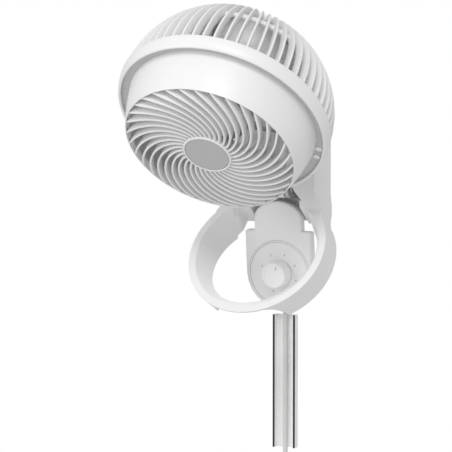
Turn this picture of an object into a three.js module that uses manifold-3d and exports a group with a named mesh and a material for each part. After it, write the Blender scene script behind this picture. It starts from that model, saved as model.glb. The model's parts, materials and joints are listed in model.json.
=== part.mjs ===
// Wall mounted air circulator fan: a spherical head with a spiral grille on a tilting
// stem, a wall bracket that ends in a slanted hoop, and a control pod inside the hoop.
// Millimetres. The wall is the plane Y = 0, +Y points into the wall, the fan faces -Y,
// +Z is up, X = 0 is the plane of symmetry, and the origin is the wall plate's centre.
import * as THREE from 'three';
import { mergeVertices } from 'three/addons/utils/BufferGeometryUtils.js';
import Module from 'manifold-3d';

const wasm = await Module();
wasm.setup();

// ---------------------------------------------------------------- driving dimensions
const CLEARANCE = 0.3; // gap between seated pieces
const DEG = Math.PI / 180;

const HOOP = {
  z: -90, // height of the front circle's centre
  standoff: 81.5, // its distance from the wall
  slope: 38.8 * DEG, // the hoop faces up by this angle
  outerRadius: 80.3,
  innerRadius: 72,
  skirtDepth: 37,
  skirtRadius: 77.5, // outer radius at the back of the skirt
  skirtRise: 8.6, // how far the skirt's back is shifted up the slope
  wall: 3.2,
  ovalRadius: [62.7, 2.0, 5.8, -0.3], // back edge of the opening, by harmonics
  cutDepth: 24.8, // depth of the opening's slanted back cut at the centre
  cutSlope: 0.354, // and how it deepens up the slope
  rimThickness: 2.4, // inner rim at the back cut
  columnAngle: 60 * DEG, // where the hoop runs into the column, from its top
  hollowFloor: 4.7, // thickness of the front face over the hollow
  notchFloor: 3.7, // thickness that the notch leaves at the bottom
  notchTop: 27, // half width of the notch at its floor
  notchWidth: 40, // half width of the notch at the back
};
const COLUMN = {
  halfWidth: 53.5,
  depth: 45,
  top: 60,
  topDepth: 31, // depth at the top, where the column leans clear of the head
  leanStart: 0,
  cornerRadius: 16,
  webBack: 3.3, // recess for the wall plate
  webThickness: 4,
  pocketHalfWidth: 36,
  pocketTop: 10,
  frontWall: 7,
  // Half of the arched window in the front wall, from its foot to its top.
  window: [[66, -86], [66, -62], [48.6, -46], [36, -34], [28.7, -26], [22.5, -14], [16.5, -3],
    [9.5, 4], [0, 7]],
  recessHalfWidth: 43.8, // recess that opens the hoop up to the window
  recessUp: 64,
};
const PLATE = { halfWidth: 40, bottom: -60, top: 50, thickness: 3 };
const ANCHOR = { x: 29, z: -30, headRadius: 4.2, headHeight: 2.2, shaftRadius: 2.2 };
const TILT = {
  standoff: 30, // hinge line's distance from the wall
  z: -24,
  barrelRadius: 11,
  barrelHalfLength: 12.4,
  washer: 1.3,
  earThickness: 4.5,
  pinRadius: 3.5,
  capRadius: 6,
  capThickness: 2.6,
};
const HEAD = {
  standoff: 162, // dome centre's distance from the wall
  z: 70,
  droop: 44.2 * DEG, // the air stream points down by this angle
  radius: 120,
  ribs: 60,
  ribThickness: 2.6,
  ribHeight: 5.5,
  ribEnd: 64.5 * DEG, // latitude where the ribs meet the rear ring
};
const SADDLE = { halfWidth: 24, thickness: 5.5, screwX: [-13, 13], screwZ: 5, screwRadius: 1.8 };
const GRILLE = {
  rimRadius: 95.4,
  rimFront: 56.4,
  hubRadius: 27.2,
  hubFront: 64.3,
  vanes: 34,
  vaneDepth: 12,
  vaneThickness: 2.2,
  vaneSweep: 60.1 * DEG, // turn of a vane between hub and rim
  vaneEase: 2.5, // length over which a vane leaves the hub squarely
  vanePhase: 1.9 * DEG,
  discRadius: 24.6,
};
const CONE = { baseRadius: 105.8, baseFront: 13.8, wall: 2.6, floor: 4.5 };
const MOTOR = { radius: 34, back: -101.2, front: -56, wall: 2, shaftRadius: 4 };
const FAN = {
  radius: 95,
  hubRadius: 30,
  hubBack: -20,
  hubFront: 21,
  blades: 5,
  pitch: 32 * DEG,
  phase: 42 * DEG,
  bladeFront: 0.6, // how far the blades' middle stands in front of the dome's widest plane
};
const POD = {
  standoff: 22.2, // dial face's distance from the wall at the knob
  z: -120.9,
  droop: 4.7 * DEG,
  halfWidth: 40.5,
  shoulder: 48,
  neckHalfWidth: 29,
  neckSide: 62,
  neckTop: 81.5,
  frontDepth: 9,
  depth: 16.4,
  wall: 2.6,
  edge: 2.4, // rounded edge
  backTaper: 7.5, // inset of the rear shell's back
};
const DIAL = { radius: 35.3, ringOuter: 37.4, ringInner: 35.7, recess: 2.2 };
const KNOB = { radius: 15, height: 16, base: 0.8, shaftRadius: 3 };
const CORD = {
  diameter: 5.4,
  standoff: 4.4,
  top: -167.5,
  railEnd: -319.5,
  runEnd: -330,
};
const RAIL = { innerHalfWidth: 11.5, wall: 2, base: 1.4, depth: 8, stripDepth: 1.1, top: -169 };
const COIL = {
  turnsPerLayer: 4,
  layers: 2,
  pitch: 5.9, // spacing between turns
  innerRadius: 20.2,
  z: -384,
  tail: 34, // straight end that reaches the plug
  steps: 18,
  sides: 6,
};
const PLUG = { length: 34, width: 25, thickness: 16, neck: 14, pinLength: 16, pinWidth: 6.3 };

// ---------------------------------------------------------------- finishes
const paint = (color, roughness, metalness = 0) =>
  new THREE.MeshStandardMaterial({ color, roughness, metalness });
const WHITE = paint(0xf1f1ef, 0.42);
const WARM_WHITE = paint(0xe6e6e3, 0.5);
const GREY = paint(0xa9a9a7, 0.45);
const CORD_GREY = paint(0xb9bab6, 0.55);
const BLACK = paint(0x1c1c1d, 0.6);
const STEEL = paint(0xb8bbbd, 0.35, 0.9);
const COPPER = paint(0x9a5a33, 0.45, 0.8);

// ---------------------------------------------------------------- geometry helpers
/** Signed volume of a triangle mesh, negative when its faces point inwards. */
function signedVolume(geometry) {
  const p = geometry.attributes.position;
  const index = geometry.index.array;
  const [a, b, c] = [new THREE.Vector3(), new THREE.Vector3(), new THREE.Vector3()];
  let volume = 0;
  for (let i = 0; i < index.length; i += 3) {
    a.fromBufferAttribute(p, index[i]);
    b.fromBufferAttribute(p, index[i + 1]);
    c.fromBufferAttribute(p, index[i + 2]);
    volume += a.dot(b.cross(c)) / 6;
  }
  return volume;
}

/** Merges shared vertices and turns every face outwards. */
function closed(geometry) {
  const g = geometry.clone();
  g.deleteAttribute('normal');
  g.deleteAttribute('uv');
  const merged = mergeVertices(g, 1e-4);
  const index = [];
  const source = merged.index.array;
  for (let i = 0; i < source.length; i += 3) {
    const [a, b, c] = [source[i], source[i + 1], source[i + 2]];
    if (a !== b && b !== c && a !== c) index.push(a, b, c);
  }
  merged.setIndex(index);
  if (signedVolume(merged) < 0) {
    for (let i = 0; i < index.length; i += 3) {
      [index[i + 1], index[i + 2]] = [index[i + 2], index[i + 1]];
    }
    merged.setIndex(index);
  }
  return merged;
}

const solid = (geometry) => {
  const g = closed(geometry);
  return new wasm.Manifold(new wasm.Mesh({
    numProp: 3,
    vertProperties: new Float32Array(g.attributes.position.array),
    triVerts: new Uint32Array(g.index.array),
  }));
};

function fromSolid(manifold) {
  const mesh = manifold.getMesh();
  const g = new THREE.BufferGeometry();
  g.setAttribute('position', new THREE.BufferAttribute(new Float32Array(mesh.vertProperties), 3));
  g.setIndex(new THREE.BufferAttribute(new Uint32Array(mesh.triVerts), 1));
  return g;
}

const join = (...parts) => parts.map((p) => (p.isBufferGeometry ? solid(p) : p))
  .reduce((a, b) => a.add(b));
const cut = (body, ...tools) => tools.map((p) => (p.isBufferGeometry ? solid(p) : p))
  .reduce((a, b) => a.subtract(b), body.isBufferGeometry ? solid(body) : body);

/** Solid of revolution about Z from a closed profile of [radius, height] points. */
function revolve(profile, segments = 32) {
  const points = [...profile, profile[0]].map(([r, z]) => new THREE.Vector2(r, z));
  return new THREE.LatheGeometry(points, segments).rotateX(Math.PI / 2);
}

const disc = (radius, z0, z1, segments = 20) => revolve(
  [[0, z0], [radius, z0], [radius, z1], [0, z1]], segments);
const ringBody = (inner, outer, z0, z1, segments = 32) => revolve(
  [[inner, z0], [outer, z0], [outer, z1], [inner, z1]], segments);

function block(x0, x1, y0, y1, z0, z1) {
  return new THREE.BoxGeometry(x1 - x0, y1 - y0, z1 - z0)
    .translate((x0 + x1) / 2, (y0 + y1) / 2, (z0 + z1) / 2);
}

/** Rod along X between two ends. */
const rodX = (radius, x0, x1, y, z, segments = 18) =>
  disc(radius, x0, x1, segments).rotateY(Math.PI / 2).translate(0, y, z);
/** Rod along Y between two ends. */
const rodY = (radius, y0, y1, x, z, segments = 12) =>
  disc(radius, y0, y1, segments).rotateX(-Math.PI / 2).translate(x, 0, z);

/** Plate whose outline lies in the XZ plane, between two depths. */
function plateXZ(shape, y0, y1, curveSegments = 6) {
  return new THREE.ExtrudeGeometry(shape, { depth: y1 - y0, bevelEnabled: false, curveSegments })
    .rotateX(Math.PI / 2).translate(0, y1, 0);
}

/** Plate whose outline lies in the YZ plane, between two X positions. */
function plateYZ(points, x0, x1) {
  const shape = new THREE.Shape(points.map(([y, z]) => new THREE.Vector2(y, z)));
  const g = new THREE.ExtrudeGeometry(shape, { depth: x1 - x0, bevelEnabled: false });
  return g.applyMatrix4(new THREE.Matrix4().set(
    0, 0, 1, x0,
    1, 0, 0, 0,
    0, 1, 0, 0,
    0, 0, 0, 1));
}

/** Skins rings of equal point count, with a fan over each end. */
function loft(rings) {
  const n = rings[0].length;
  const position = rings.flat().flatMap((p) => [p.x, p.y, p.z]);
  const index = [];
  const last = (rings.length - 1) * n;
  for (let a = 0; a < last; a += n) {
    const b = a + n;
    for (let j = 0; j < n; j += 1) {
      const k = (j + 1) % n;
      index.push(a + j, a + k, b + k, a + j, b + k, b + j);
    }
  }
  for (let j = 1; j < n - 1; j += 1) {
    index.push(0, j + 1, j, last, last + j, last + j + 1);
  }
  const g = new THREE.BufferGeometry();
  g.setAttribute('position', new THREE.Float32BufferAttribute(position, 3));
  g.setIndex(index);
  return g;
}

const group = new THREE.Group();
function addPiece(name, shape, material, parent = group) {
  const geometry = shape.isBufferGeometry ? closed(shape) : fromSolid(shape);
  const mesh = new THREE.Mesh(geometry, material);
  mesh.name = name;
  parent.add(mesh);
  return mesh;
}

// ---------------------------------------------------------------- wall bracket
const hoopNormal = new THREE.Vector3(0, -Math.cos(HOOP.slope), Math.sin(HOOP.slope));
const hoopUp = new THREE.Vector3(0, Math.sin(HOOP.slope), Math.cos(HOOP.slope));
const hoopCentre = new THREE.Vector3(0, -HOOP.standoff, HOOP.z);

/** Point in the hoop's own frame: across, up the slope, and depth behind the front. */
const hoopPoint = (x, up, depth) => hoopCentre.clone()
  .addScaledVector(hoopNormal, -depth).addScaledVector(hoopUp, up).setX(x);
const hoopPolar = (angle, radius, depth) =>
  hoopPoint(radius * Math.sin(angle), radius * Math.cos(angle), depth);

const ovalRadius = (angle) => HOOP.ovalRadius
  .reduce((sum, amplitude, k) => sum + amplitude * Math.cos(k * angle), 0);
const ovalDepth = (angle) => HOOP.cutDepth + HOOP.cutSlope * ovalRadius(angle) * Math.cos(angle);
const skirtBack = (angle) => HOOP.skirtRadius + HOOP.skirtRise * Math.cos(angle);

/** Hoop: an outer skirt and an inner flared rim that share the front face. */
function hoopRing(segments = 36) {
  const rings = [];
  const start = HOOP.columnAngle - 5 * DEG;
  for (let i = 0; i <= segments; i += 1) {
    const a = THREE.MathUtils.lerp(start, 2 * Math.PI - start, i / segments);
    const [rimR, rimD] = [ovalRadius(a), ovalDepth(a)];
    const back = skirtBack(a);
    const skirtInner = hoopPolar(a, back - HOOP.wall, HOOP.skirtDepth);
    const rimBack = hoopPolar(a, rimR + HOOP.rimThickness * 0.6, rimD + HOOP.rimThickness);
    // The hollow behind the front face fades out where the column takes over.
    const hollow = THREE.MathUtils.smoothstep(Math.min(a, 2 * Math.PI - a) / DEG, 62, 84);
    const root = skirtInner.clone().lerp(rimBack, 0.5).lerp(
      hoopPolar(a, HOOP.outerRadius - HOOP.wall - 1, HOOP.hollowFloor), hollow);
    rings.push([
      hoopPolar(a, HOOP.outerRadius, 0),
      hoopPolar(a, back, HOOP.skirtDepth),
      skirtInner,
      root,
      rimBack,
      hoopPolar(a, rimR, rimD),
      hoopPolar(a, HOOP.innerRadius, 0),
    ]);
  }
  return loft(rings);
}

/** Everything inside the hoop's opening, carried on through to the back. */
function hoopOpening(segments = 40) {
  const ring = (radius, depth) => Array.from({ length: segments }, (_, i) => {
    const a = (i / segments) * 2 * Math.PI;
    return hoopPolar(a, radius(a), depth(a));
  });
  return loft([
    ring(() => HOOP.innerRadius + 3, () => -9),
    ring(() => HOOP.innerRadius, () => 0),
    ring(ovalRadius, ovalDepth),
    ring(ovalRadius, (a) => ovalDepth(a) + 70),
  ]);
}

/** The notch that leaves only a thin flange at the hoop's lowest point. */
function hoopNotch() {
  const shape = new THREE.Shape();
  shape.moveTo(-HOOP.notchTop, HOOP.notchFloor);
  shape.lineTo(HOOP.notchTop, HOOP.notchFloor);
  shape.bezierCurveTo(HOOP.notchTop + 9, HOOP.notchFloor + 2, HOOP.notchWidth - 1, 18,
    HOOP.notchWidth, HOOP.skirtDepth + 4);
  shape.lineTo(-HOOP.notchWidth, HOOP.skirtDepth + 4);
  shape.bezierCurveTo(-HOOP.notchWidth + 1, 18, -HOOP.notchTop - 9, HOOP.notchFloor + 2,
    -HOOP.notchTop, HOOP.notchFloor);
  const g = new THREE.ExtrudeGeometry(shape, { depth: 60, bevelEnabled: false, curveSegments: 6 });
  const p = g.attributes.position;
  for (let i = 0; i < p.count; i += 1) {
    const q = hoopPoint(p.getX(i), p.getZ(i) - 100, p.getY(i));
    p.setXYZ(i, q.x, q.y, q.z);
  }
  return g;
}

// Where the hoop's slanted face folds into the column's upright face.
const foldUp = (HOOP.standoff - COLUMN.depth) / Math.sin(HOOP.slope);
const foldZ = HOOP.z + foldUp * Math.cos(HOOP.slope);

/** Column front at a given height, leaning back above the head's widest point. */
const columnFront = (z) => {
  const lean = Math.max(0, (z - COLUMN.leanStart) / (COLUMN.top - COLUMN.leanStart));
  return -(COLUMN.depth + (COLUMN.topDepth - COLUMN.depth) * lean);
};

/** Outer body of the column: level strips between a front line and a back line. */
function columnBody() {
  const strip = (xf, yf, zf, xb, yb, zb) => [
    new THREE.Vector3(-xf, yf, zf), new THREE.Vector3(xf, yf, zf),
    new THREE.Vector3(xb, yb, zb), new THREE.Vector3(-xb, yb, zb),
  ];
  const strips = [];
  for (const turn of [0, 3, 6]) {
    const angle = HOOP.columnAngle - turn * DEG;
    const f = hoopPolar(angle, HOOP.outerRadius, 0);
    const b = hoopPolar(angle, skirtBack(angle), HOOP.skirtDepth);
    strips.push(strip(f.x, f.y, f.z, b.x, b.y, b.z));
  }
  // The shoulders ease from the hoop's round edge into the column's straight sides.
  const ease = (t) => t * t * (3 - 2 * t);
  const start = strips[2];
  const shoulderTop = -24;
  for (let i = 1; i <= 8; i += 1) {
    const t = i / 8;
    const zf = THREE.MathUtils.lerp(start[1].z, shoulderTop, t);
    const yf = zf < foldZ
      ? hoopPoint(0, (zf - HOOP.z) / Math.cos(HOOP.slope), 0).y : -COLUMN.depth;
    const xf = COLUMN.halfWidth + (start[1].x - COLUMN.halfWidth) * (1 - ease(t)) ** 1.6;
    const zb = THREE.MathUtils.lerp(start[2].z, shoulderTop, t ** 1.2);
    const yb = Math.min(0, start[2].y + (zb - start[2].z) * 1.15);
    const waist = 3 * Math.sin(Math.PI * Math.min(1, 1.5 * t)) * (t < 2 / 3 ? 1 : 0);
    const xb = COLUMN.halfWidth + (start[2].x - COLUMN.halfWidth) * (1 - t) ** 2 - waist;
    strips.push(strip(xf, yf, zf, xb, yb, zb));
  }
  strips.push(strip(COLUMN.halfWidth, columnFront(COLUMN.leanStart), COLUMN.leanStart,
    COLUMN.halfWidth, 0, COLUMN.leanStart));
  for (let i = 0; i <= 5; i += 1) {
    const a = (i / 5) * Math.PI / 2;
    const z = COLUMN.top - COLUMN.cornerRadius * (1 - Math.sin(a));
    const x = COLUMN.halfWidth - COLUMN.cornerRadius * (1 - Math.cos(a));
    strips.push(strip(x, columnFront(z), z, x, 0, z));
  }
  return loft(strips);
}

/** Window in the column's front wall, wide over the pod and narrow for the stem. */
function frontWindow() {
  const half = COLUMN.window.map(([x, z]) => new THREE.Vector2(x, z));
  const foot = half.shift();
  const arch = new THREE.SplineCurve([...half, ...half.slice(0, -1).reverse()
    .map((p) => new THREE.Vector2(-p.x, p.y))]);
  const shape = new THREE.Shape([foot, ...arch.getPoints(20), new THREE.Vector2(-foot.x, foot.y)]);
  return plateXZ(shape, -COLUMN.depth - 12, -COLUMN.depth + COLUMN.frontWall + 1);
}

/** Recess above the hoop's opening, cut along the hoop's own depth. */
function hoopRecess() {
  const g = block(-COLUMN.recessHalfWidth, COLUMN.recessHalfWidth, -20, 110, 0, COLUMN.recessUp);
  const p = g.attributes.position;
  for (let i = 0; i < p.count; i += 1) {
    const q = hoopPoint(p.getX(i), p.getZ(i), p.getY(i));
    p.setXYZ(i, q.x, q.y, q.z);
  }
  return g;
}

const webFront = -(COLUMN.webBack + COLUMN.webThickness);
const anchorSpots = [[-ANCHOR.x, ANCHOR.z], [ANCHOR.x, ANCHOR.z]];

function bracketShell() {
  const pocket = block(-COLUMN.pocketHalfWidth, COLUMN.pocketHalfWidth,
    -COLUMN.depth + COLUMN.frontWall, webFront, HOOP.z + 18, COLUMN.pocketTop);
  const recess = block(-PLATE.halfWidth - CLEARANCE, PLATE.halfWidth + CLEARANCE,
    -COLUMN.webBack, 5, PLATE.bottom - CLEARANCE, PLATE.top + CLEARANCE);
  const holes = anchorSpots.map(([x, z]) =>
    rodY(ANCHOR.shaftRadius + CLEARANCE, webFront - 2, 2, x, z));
  const column = cut(columnBody(), hoopOpening(), hoopRecess(), pocket, frontWindow(), recess);
  const hoop = cut(hoopRing(), hoopNotch());
  return cut(join(column, hoop), ...holes);
}
addPiece('bracket_shell', bracketShell(), WHITE);

// ---------------------------------------------------------------- wall plate and anchors
addPiece('wall_plate', cut(
  block(-PLATE.halfWidth, PLATE.halfWidth, -PLATE.thickness, 0, PLATE.bottom, PLATE.top),
  ...anchorSpots.map(([x, z]) => rodY(ANCHOR.shaftRadius + CLEARANCE, -9, 2, x, z)),
), STEEL);
anchorSpots.forEach(([x, z], i) => {
  const head = webFront - CLEARANCE;
  addPiece(`anchor_screw_${i + 1}`, join(
    rodY(ANCHOR.headRadius, head - ANCHOR.headHeight, head, x, z, 12),
    rodY(ANCHOR.shaftRadius, head - 1, -0.1, x, z, 8),
  ), STEEL);
});

// ---------------------------------------------------------------- tilt joint on the bracket
const earInner = TILT.barrelHalfLength + TILT.washer + 2 * CLEARANCE;
const earOuter = earInner + TILT.earThickness;
function tiltYoke() {
  const back = webFront - CLEARANCE;
  const base = block(-earOuter - 3, earOuter + 3, back - 4.5, back, TILT.z - 15, TILT.z + 17);
  const ear = (x0, x1) => join(
    rodX(TILT.barrelRadius, x0, x1, -TILT.standoff, TILT.z),
    plateYZ([[back - 1, TILT.z - 12], [back - 1, TILT.z + 15],
      [-TILT.standoff, TILT.z + TILT.barrelRadius], [-TILT.standoff, TILT.z - TILT.barrelRadius]],
    x0, x1));
  const bore = rodX(TILT.pinRadius + CLEARANCE, -40, 40, -TILT.standoff, TILT.z, 12);
  return cut(join(base, ear(earInner, earOuter), ear(-earOuter, -earInner)), bore);
}
addPiece('tilt_yoke', tiltYoke(), GREY);
for (const side of [-1, 1]) {
  const x0 = TILT.barrelHalfLength + CLEARANCE;
  const span = side > 0 ? [x0, x0 + TILT.washer] : [-x0 - TILT.washer, -x0];
  const washer = ringBody(TILT.pinRadius + CLEARANCE, TILT.barrelRadius - 1, ...span, 12)
    .rotateY(Math.PI / 2).translate(0, -TILT.standoff, TILT.z);
  addPiece(side > 0 ? 'friction_washer_right' : 'friction_washer_left', washer, BLACK);
}
const capInner = earOuter + CLEARANCE;
addPiece('tilt_pin', join(
  rodX(TILT.pinRadius, -capInner - 0.5, capInner + TILT.capThickness, -TILT.standoff, TILT.z, 12),
  rodX(TILT.capRadius, capInner, capInner + TILT.capThickness, -TILT.standoff, TILT.z, 16),
), STEEL);
addPiece('tilt_pin_nut', rodX(TILT.capRadius, -capInner - 0.8 - TILT.capThickness, -capInner - 0.8,
  -TILT.standoff, TILT.z, 6), STEEL);

// ---------------------------------------------------------------- head
// The head's own frame: X across, Y towards its top, Z along the air stream.
const head = new THREE.Group();
head.position.set(0, -HEAD.standoff, HEAD.z);
head.rotation.x = Math.PI / 2 + HEAD.droop;
group.add(head);
const headInverse = new THREE.Matrix4().compose(head.position, head.quaternion,
  new THREE.Vector3(1, 1, 1)).invert();
const hingeLocal = new THREE.Vector3(0, -TILT.standoff, TILT.z).applyMatrix4(headInverse);

const bandProfile = [
  [116.9, 0], [HEAD.radius, 0], [HEAD.radius - 0.7, 9], [HEAD.radius - 1.8, 13.2],
  [HEAD.radius - 3.2, 15.1], [HEAD.radius - 4.6, 15.6], [HEAD.radius - 5.2, 14.6], [116.2, 10.2],
];
addPiece('outer_band', revolve(bandProfile, 48), WHITE, head);

/** A rib: a thin bar that follows the dome from the band to the rear ring. */
function domeRib(angle) {
  const steps = 3;
  const half = HEAD.ribThickness / 2;
  const rings = [];
  for (let i = 0; i <= steps; i += 1) {
    const latitude = -0.2 * DEG + (HEAD.ribEnd + 0.4 * DEG) * (i / steps);
    const draft = 1 - 0.3 * (i / steps);
    const corner = (radius, w) => new THREE.Vector3(
      radius * Math.cos(latitude), w * draft, -radius * Math.sin(latitude))
      .applyAxisAngle(new THREE.Vector3(0, 0, 1), angle);
    const outer = HEAD.radius - (i === 0 ? 0.4 : 0);
    rings.push([corner(outer, -half * 0.7), corner(outer, half * 0.7),
      corner(outer - HEAD.ribHeight, half), corner(outer - HEAD.ribHeight, -half)]);
  }
  const g = loft(rings);
  return g.translate(0, 0, -0.7);
}

const rearRing = {
  outer: HEAD.radius * Math.cos(HEAD.ribEnd) + 2.5,
  inner: 49.2,
  back: -HEAD.radius * Math.sin(HEAD.ribEnd) - 2.2,
};
function rearGrille() {
  const ribs = Array.from({ length: HEAD.ribs }, (_, i) =>
    solid(domeRib((i / HEAD.ribs) * 2 * Math.PI)));
  const frontRing = ringBody(111.5, 116.2, -6.5, 1.7, HEAD.ribs);
  const crown = ringBody(rearRing.inner, rearRing.outer, rearRing.back,
    rearRing.back + 11.5, HEAD.ribs);
  const halfCell = Math.PI / HEAD.ribs; // keeps the rings' facet edges between the ribs
  return join(frontRing.rotateZ(halfCell), crown.rotateZ(halfCell), ...ribs);
}
addPiece('rear_grille', rearGrille(), WHITE, head);

addPiece('rear_cap', revolve([
  [0, -120], [18, -118.6], [34, -115.1], [rearRing.inner - CLEARANCE, -109.4],
  [rearRing.inner - CLEARANCE, -106], [0, -107.5],
], 30), WHITE, head);
addPiece('motor_bracket', cut(
  ringBody(6, rearRing.inner - CLEARANCE, -105.7, -101.7, 24),
  ...[30, 150, 270].map((a) => disc(5, -110, -95, 8)
    .translate(42 * Math.cos(a * DEG), 42 * Math.sin(a * DEG), 0)),
), GREY, head);
addPiece('motor_can', revolve([
  [5, MOTOR.back - 0.2], [MOTOR.radius, MOTOR.back - 0.2], [MOTOR.radius, MOTOR.front],
  [MOTOR.radius - MOTOR.wall, MOTOR.front], [MOTOR.radius - MOTOR.wall, MOTOR.back + MOTOR.wall],
  [5, MOTOR.back + MOTOR.wall],
], 20), WHITE, head);
addPiece('motor_stator', ringBody(19, MOTOR.radius - MOTOR.wall - CLEARANCE, -92, -66, 20),
  COPPER, head);
addPiece('motor_front_plate', revolve([
  [MOTOR.shaftRadius + 1, MOTOR.front + CLEARANCE], [MOTOR.radius, MOTOR.front + CLEARANCE],
  [MOTOR.radius - 6, MOTOR.front + 5], [12, MOTOR.front + 7],
  [MOTOR.shaftRadius + 1, MOTOR.front + 7],
], 20), STEEL, head);
addPiece('motor_rotor', join(disc(17.6, -91, -67, 18), disc(MOTOR.shaftRadius, -98, 26, 10)),
  STEEL, head);

/** Fan blade: a thin plate whose pitch eases off towards the tip. */
function fanBlade(angle) {
  const steps = 4;
  const rings = [];
  for (let i = 0; i <= steps; i += 1) {
    const t = i / steps;
    const radius = THREE.MathUtils.lerp(FAN.hubRadius - 3, FAN.radius, t);
    const pitch = FAN.pitch * (1.45 - 0.75 * t);
    const chord = 32 + 33 * Math.sin(Math.PI * (0.15 + 0.62 * t));
    const lean = -0.18 + 0.5 * t * t;
    const half = THREE.MathUtils.lerp(1.5, 0.8, t);
    const at = (along, off) => {
      const across = along * Math.cos(pitch) - off * Math.sin(pitch);
      const a = angle + lean + across / radius;
      return new THREE.Vector3(radius * Math.cos(a), radius * Math.sin(a),
        FAN.bladeFront + along * Math.sin(pitch) + off * Math.cos(pitch));
    };
    rings.push([at(-chord / 2, -half), at(0, -half - 2.2), at(chord / 2, -half),
      at(chord / 2, half), at(0, half - 2.2), at(-chord / 2, half)]);
  }
  return loft(rings);
}
function impeller() {
  const hub = revolve([
    [MOTOR.shaftRadius + CLEARANCE, FAN.hubBack + 20], [MOTOR.shaftRadius + CLEARANCE, FAN.hubFront],
    [18, FAN.hubFront], [26, FAN.hubFront - 3], [FAN.hubRadius, FAN.hubFront - 9],
    [FAN.hubRadius, FAN.hubBack], [FAN.hubRadius - 2.5, FAN.hubBack],
    [FAN.hubRadius - 2.5, FAN.hubFront - 8], [10, FAN.hubFront - 4], [10, FAN.hubBack + 20],
  ], 20);
  const blades = Array.from({ length: FAN.blades }, (_, i) =>
    solid(fanBlade(FAN.phase + (i / FAN.blades) * 2 * Math.PI)));
  const inside = disc(FAN.hubRadius - 1.5, FAN.hubBack - 20, FAN.hubFront - 4, 12);
  return join(hub, ...blades.map((b) => b.subtract(solid(inside))));
}
addPiece('impeller', impeller(), WARM_WHITE, head);
addPiece('impeller_nut', revolve([
  [MOTOR.shaftRadius + CLEARANCE, FAN.hubFront + CLEARANCE], [11, FAN.hubFront + CLEARANCE],
  [11, FAN.hubFront + 5], [8, FAN.hubFront + 9], [0, FAN.hubFront + 10],
  [0, 26.4], [MOTOR.shaftRadius + CLEARANCE, 26.4],
], 12), WARM_WHITE, head);

// Duct cone: the flange closes the groove behind the band, the cone carries the grille.
const coneTip = GRILLE.rimFront - 4.4;
addPiece('duct_cone', revolve([
  [CONE.baseRadius - CONE.wall - 1, 2], [115.9, 2], [115.9, CONE.floor],
  [CONE.baseRadius, CONE.floor], [CONE.baseRadius, CONE.baseFront], [103.3, 28],
  [100.1, 42], [GRILLE.rimRadius + 0.9, coneTip], [GRILLE.rimRadius - 2.2, coneTip],
  [100.5, 28], [CONE.baseRadius - CONE.wall - 1, CONE.baseFront],
], 48), WHITE, head);
[-23.5, -30.8].forEach((a, i) => {
  const [c, s] = [Math.cos(a * DEG), Math.sin(a * DEG)];
  addPiece(`groove_clip_${i + 1}`, block(CONE.baseRadius + 0.6, 113.5, -2.2, 2.2,
    CONE.floor + CLEARANCE, CONE.floor + 4.2).applyMatrix4(
    new THREE.Matrix4().makeRotationAxis(new THREE.Vector3(0, 0, 1), Math.atan2(s, c))),
  WHITE, head);
});

/** Front height of the vanes: nearly flat, then curling back to the rim. */
const vaneHeight = (r) => {
  const t = (r - GRILLE.hubRadius) / (GRILLE.rimRadius - GRILLE.hubRadius);
  return GRILLE.hubFront - 0.6 - 5.4 * t ** 3 - 3.2 * t ** 12;
};
/** Turn of a vane at a radius: it leaves the hub square and then sweeps evenly. */
const vaneTurn = (r) => {
  const run = r - GRILLE.hubRadius;
  const span = GRILLE.rimRadius - GRILLE.hubRadius;
  const ease = GRILLE.vaneEase;
  return GRILLE.vaneSweep * (run - ease * (1 - Math.exp(-run / ease)))
    / (span - ease);
};
function grilleVane(angle) {
  const steps = 4;
  const rings = [];
  for (let i = 0; i <= steps; i += 1) {
    const t = i / steps;
    const r = THREE.MathUtils.lerp(GRILLE.hubRadius - 1.2, GRILLE.rimRadius - 1.4, t ** 0.92);
    const a = angle + vaneTurn(Math.max(r, GRILLE.hubRadius));
    const ahead = Math.max(r, GRILLE.hubRadius) + 0.5;
    const turn = vaneTurn(ahead) - vaneTurn(ahead - 0.5);
    const slope = Math.atan2(turn * r, 0.5);
    const side = new THREE.Vector3(-Math.sin(a + slope), Math.cos(a + slope), 0);
    const mid = new THREE.Vector3(r * Math.cos(a), r * Math.sin(a), 0);
    const half = GRILLE.vaneThickness / 2;
    const depth = GRILLE.vaneDepth * (1 - 0.72 * t ** 4);
    const z = vaneHeight(r);
    const at = (w, height) => mid.clone().addScaledVector(side, w).setZ(height);
    rings.push([at(-half * 0.8, z), at(half * 0.8, z), at(half * 0.55, z - depth),
      at(-half * 0.55, z - depth)]);
  }
  return loft(rings);
}
function frontGrille() {
  const vanes = Array.from({ length: GRILLE.vanes }, (_, i) =>
    solid(grilleVane(GRILLE.vanePhase + (i / GRILLE.vanes) * 2 * Math.PI)));
  const rim = revolve([
    [GRILLE.rimRadius - 2.6, coneTip + CLEARANCE], [GRILLE.rimRadius + 0.7, coneTip + CLEARANCE],
    [GRILLE.rimRadius, GRILLE.rimFront], [GRILLE.rimRadius - 1.6, GRILLE.rimFront + 0.3],
  ], 51);
  const hub = revolve([
    [0, 52.5], [GRILLE.hubRadius - 2, 52.5], [GRILLE.hubRadius, 55],
    [GRILLE.hubRadius, GRILLE.hubFront], [GRILLE.hubRadius - 0.9, GRILLE.hubFront + 0.6],
    [GRILLE.discRadius + 0.4, GRILLE.hubFront + 0.2], [GRILLE.discRadius + 0.4, 62.6], [0, 62.6],
  ], GRILLE.vanes).rotateZ(GRILLE.vanePhase + Math.PI / GRILLE.vanes);
  return join(hub, rim, ...vanes);
}
addPiece('front_grille', frontGrille(), WHITE, head);
addPiece('hub_disc', revolve([[0, 62.9], [GRILLE.discRadius, 62.9], [GRILLE.discRadius, 63.9],
  [GRILLE.discRadius - 0.5, 64.2], [0, 64.5]], 32), GREY, head);

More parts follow.
